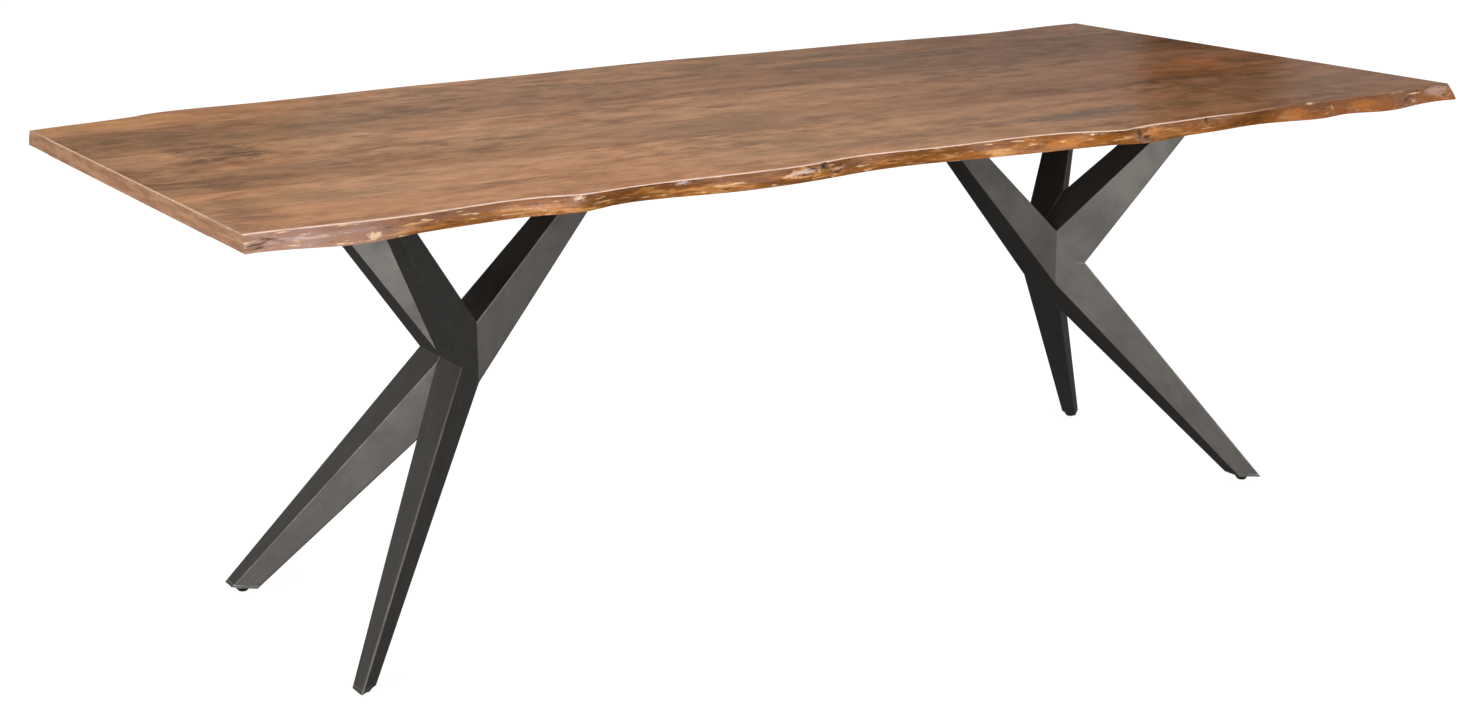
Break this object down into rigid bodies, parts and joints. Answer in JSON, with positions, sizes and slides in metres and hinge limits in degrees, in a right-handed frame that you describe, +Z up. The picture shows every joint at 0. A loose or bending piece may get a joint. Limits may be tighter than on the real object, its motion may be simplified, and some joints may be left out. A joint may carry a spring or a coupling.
{
  "type": "dining table",
  "caption": "Rectangular wooden dining table with live long edges on branching, tapered steel pedestals with screw-in levelling glides.",
  "frame": {"origin": "on the floor, under the centre of the top's bounding box", "axes": "+X along the table, +Z up; the pictured long side faces -Y"},
  "size_m": [2.244, 1.0724, 0.762],
  "materials": {
    "slab_wood": "satin clear coat",
    "gunmetal_steel": "dark brushed steel under a satin clear coat",
    "plated_steel": "zinc plated",
    "black_plastic": "moulded, matte"
  },
  "bodies": {
    "table": {"front_live_edge_board": "slab_wood", "front_inner_board": "slab_wood", "front_middle_board": "slab_wood", "rear_middle_board": "slab_wood", "rear_inner_board": "slab_wood", "rear_live_edge_board": "slab_wood", "left_inner_arm": "gunmetal_steel", "left_front_arm": "gunmetal_steel", "left_front_leg": "gunmetal_steel", "left_rear_arm": "gunmetal_steel", "left_rear_leg": "gunmetal_steel", "right_inner_arm": "gunmetal_steel", "right_front_arm": "gunmetal_steel", "right_front_leg": "gunmetal_steel", "right_rear_arm": "gunmetal_steel", "right_rear_leg": "gunmetal_steel", "left_inner_mounting_plate": "gunmetal_steel", "left_front_mounting_plate": "gunmetal_steel", "left_front_foot_plate": "gunmetal_steel", "left_rear_mounting_plate": "gunmetal_steel", "left_rear_foot_plate": "gunmetal_steel", "right_inner_mounting_plate": "gunmetal_steel", "right_front_mounting_plate": "gunmetal_steel", "right_front_foot_plate": "gunmetal_steel", "right_rear_mounting_plate": "gunmetal_steel", "right_rear_foot_plate": "gunmetal_steel", "left_mounting_bolts": "plated_steel", "left_bolt_washers": "plated_steel", "left_threaded_inserts": "plated_steel", "left_glide_nuts": "plated_steel", "right_mounting_bolts": "plated_steel", "right_bolt_washers": "plated_steel", "right_threaded_inserts": "plated_steel", "right_glide_nuts": "plated_steel"},
    "left_front_screw": {"left_front_glide_stem": "plated_steel"},
    "left_front_glide": {"left_front_glide_pad": "black_plastic"},
    "left_rear_screw": {"left_rear_glide_stem": "plated_steel"},
    "left_rear_glide": {"left_rear_glide_pad": "black_plastic"},
    "right_front_screw": {"right_front_glide_stem": "plated_steel"},
    "right_front_glide": {"right_front_glide_pad": "black_plastic"},
    "right_rear_screw": {"right_rear_glide_stem": "plated_steel"},
    "right_rear_glide": {"right_rear_glide_pad": "black_plastic"}
  },
  "joints": [
    {"name": "left_front_glide_travel", "type": "slide", "parent": "table", "child": "left_front_screw", "axis": [0, 0, -1], "range_m": [0, 0.008]},
    {"name": "left_front_glide_turn", "type": "hinge", "parent": "left_front_screw", "child": "left_front_glide", "pos_m": [-0.898, -0.26917, 0.004], "axis": [0, 0, -1], "range_deg": [0, 2304]},
    {"name": "left_rear_glide_travel", "type": "slide", "parent": "table", "child": "left_rear_screw", "axis": [0, 0, -1], "range_m": [0, 0.008]},
    {"name": "left_rear_glide_turn", "type": "hinge", "parent": "left_rear_screw", "child": "left_rear_glide", "pos_m": [-0.898, 0.22317, 0.004], "axis": [0, 0, -1], "range_deg": [0, 2304]},
    {"name": "right_front_glide_travel", "type": "slide", "parent": "table", "child": "right_front_screw", "axis": [0, 0, -1], "range_m": [0, 0.008]},
    {"name": "right_front_glide_turn", "type": "hinge", "parent": "right_front_screw", "child": "right_front_glide", "pos_m": [0.898, -0.26917, 0.004], "axis": [0, 0, -1], "range_deg": [0, 2304]},
    {"name": "right_rear_glide_travel", "type": "slide", "parent": "table", "child": "right_rear_screw", "axis": [0, 0, -1], "range_m": [0, 0.008]},
    {"name": "right_rear_glide_turn", "type": "hinge", "parent": "right_rear_screw", "child": "right_rear_glide", "pos_m": [0.898, 0.22317, 0.004], "axis": [0, 0, -1], "range_deg": [0, 2304]}
  ],
  "couplings": [
    {"joint": "left_front_glide_travel", "follows": "left_front_glide_turn", "m_per_rad": 0.00019894},
    {"joint": "left_rear_glide_travel", "follows": "left_rear_glide_turn", "m_per_rad": 0.00019894},
    {"joint": "right_front_glide_travel", "follows": "right_front_glide_turn", "m_per_rad": 0.00019894},
    {"joint": "right_rear_glide_travel", "follows": "right_rear_glide_turn", "m_per_rad": 0.00019894}
  ]
}
